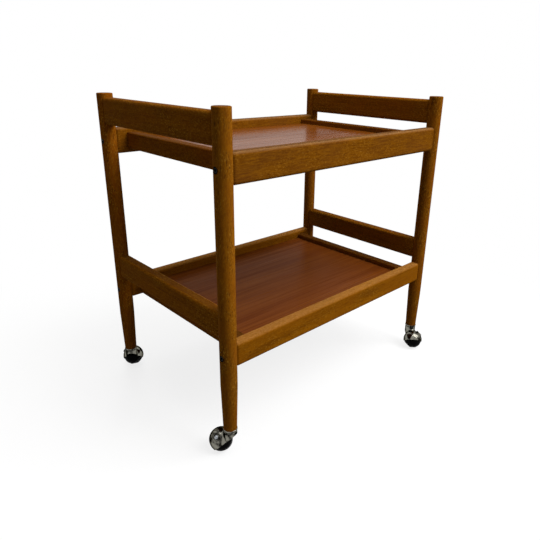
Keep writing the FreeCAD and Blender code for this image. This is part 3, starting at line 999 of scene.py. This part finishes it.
@dataclass(frozen=True)
class Viewpoint:
    """The camera: yaw from +Y towards +X, pitch up and roll anticlockwise, in degrees."""

    place: Point = (-0.8452, -0.9068, 0.7728)
    yaw: float = 44.596
    pitch: float = -20.186
    roll: float = 1.237
    lens_mm: float = 33.2
    sensor_mm: float = 36.0
    shift: tuple[float, float] = (-0.0416, -0.0364)
    clip_end: float = 60.0

    def turn(self) -> Matrix:
        """Work out which way the camera is turned.

        Returns:
            The matrix whose columns are the camera's right, up and back.
        """
        yaw, pitch, roll = (math.radians(angle) for angle in (self.yaw, self.pitch, self.roll))
        ahead = Vector((
            math.sin(yaw) * math.cos(pitch),
            math.cos(yaw) * math.cos(pitch),
            math.sin(pitch),
        ))
        level = ahead.cross(Vector((0, 0, 1))).normalized()
        above = level.cross(ahead)
        right = level * math.cos(roll) + above * math.sin(roll)
        up = above * math.cos(roll) - level * math.sin(roll)
        return Matrix((right, up, -ahead)).transposed()

    def build(self) -> None:
        """Put the camera in the scene and look through it."""
        data = bpy.data.cameras.new("camera")
        data.sensor_width = self.sensor_mm
        data.lens = self.lens_mm
        data.shift_x, data.shift_y = self.shift
        data.clip_end = self.clip_end
        camera = bpy.data.objects.new("camera", data)
        camera.matrix_world = Matrix.Translation(self.place) @ self.turn().to_4x4()
        bpy.context.scene.collection.objects.link(camera)
        bpy.context.scene.camera = camera


@dataclass
class Studio:
    """Plain pale floor, white background, three soft lights and the camera.

    The lights are a broad key from the front right, one overhead, and a weak fill from behind.
    """

    floor_size: float = 14.0
    bounce: str = "7c7a76"                        # what the floor gives back to the trolley
    shadow_share: float = 0.2                     # how strongly its shadow shows
    shadow_span: Span = (0.54, 1.08)              # the shadow fades out over these distances
    world_level: float = 0.18                     # strength of the world's light
    lights: tuple[SoftLight, ...] = (
        SoftLight("key", (1.03, -1.78, 2.6), width=2.0, watts=112),
        SoftLight("overhead", (0.2, 0.1, 3.4), width=2.6, watts=50),
        SoftLight("back_fill", (1.0, 2.8, 1.3), width=1.4, watts=36, glints=False),
    )
    camera: Viewpoint = Viewpoint()

    def floor_material(self) -> bpy.types.Material:
        """Make a floor that is seen as white and keeps a soft shadow near the trolley.

        Returns:
            The floor's material.
        """
        material, tree = new_material("pale_floor")
        place = add(tree, "TexCoord").outputs["Object"]
        distance = add(tree, "VectorMath", {0: place}, operation="LENGTH")
        share = add(tree, "MapRange", {
            "Value": distance.outputs["Value"],
            "From Min": self.shadow_span[0], "From Max": self.shadow_span[1],
            "To Min": self.shadow_share, "To Max": 0.0,
        })
        white = add(tree, "Emission", {"Color": linear("ffffff"), "Strength": 1.0})
        matt = add(tree, "BsdfDiffuse", {"Color": linear("ffffff")})
        bounce = add(tree, "BsdfDiffuse", {"Color": linear(self.bounce)})
        seen = add(tree, "MixShader", {
            0: share.outputs[0],
            1: white.outputs[0],
            2: matt.outputs[0],
        })
        both = add(tree, "MixShader", {
            0: seen_directly(tree),
            1: bounce.outputs[0],
            2: seen.outputs[0],
        })
        add(tree, "OutputMaterial", {"Surface": both.outputs[0]})
        return material

    def build_floor(self) -> None:
        """Lay the large square floor."""
        half = self.floor_size / 2
        corners = [(-half, -half, 0), (half, -half, 0), (half, half, 0), (-half, half, 0)]
        mesh = bpy.data.meshes.new("floor")
        mesh.from_pydata(corners, [], [(0, 1, 2, 3)])
        floor = bpy.data.objects.new("floor", mesh)
        bpy.context.scene.collection.objects.link(floor)
        floor.data.materials.append(self.floor_material())

    def build_world(self) -> None:
        """White where it is seen or mirrored, and a softer level for the light."""
        world = bpy.data.worlds.new("studio")
        bpy.context.scene.world = world
        world.use_nodes = True
        tree = world.node_tree
        tree.nodes.clear()
        soft = add(tree, "Background", {"Color": linear("ffffff"), "Strength": self.world_level})
        white = add(tree, "Background", {"Color": linear("ffffff"), "Strength": 1.0})
        both = add(tree, "MixShader", {
            0: seen_directly(tree),
            1: soft.outputs[0],
            2: white.outputs[0],
        })
        add(tree, "OutputWorld", {"Surface": both.outputs[0]})

    def build(self) -> None:
        """Build the floor, the world, the lights and the camera."""
        self.build_floor()
        self.build_world()
        for light in self.lights:
            light.build()
        self.camera.build()
        LOG.info("studio built")


def main() -> None:
    """Dress each sub-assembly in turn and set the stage."""
    logging.basicConfig(level=logging.INFO)
    Posts().dress()
    EndBoards().dress()
    upper_veneer = TeakVeneer("upper_teak_veneer", deep="482307", mid="63320a", pale="754012",
                              pore="391804", sheen=0.026, roughness=0.22)
    lower_veneer = TeakVeneer("lower_teak_veneer", deep="4c2108", mid="65310d", pale="743e14",
                              pore="381605", sheen=0.014, line_share=0.45, pore_share=0.4)
    # the upper rails' arrises get a greyer colour, partly painted sheen, and their tops painted
    # shade; the lower rails are made lighter, a painted light against the shade of the upper tray
    Tray(Tier.UPPER, upper_veneer, mid="703f06", warm="5f3510", rub_and_sheen="7f6648",
         arris_share=0.6, top_shade_share=0.65).dress()
    Tray(Tier.LOWER, lower_veneer, mid="8f5503", warm="7e4707", rub_and_sheen="b0844e",
         arris_share=0.35, top_shade_share=0.0).dress()
    Castors().dress()
    Joinery().dress()
    Studio().build()
    bpy.context.scene.view_settings.view_transform = "Standard"


if __name__ == "__main__":
    main()
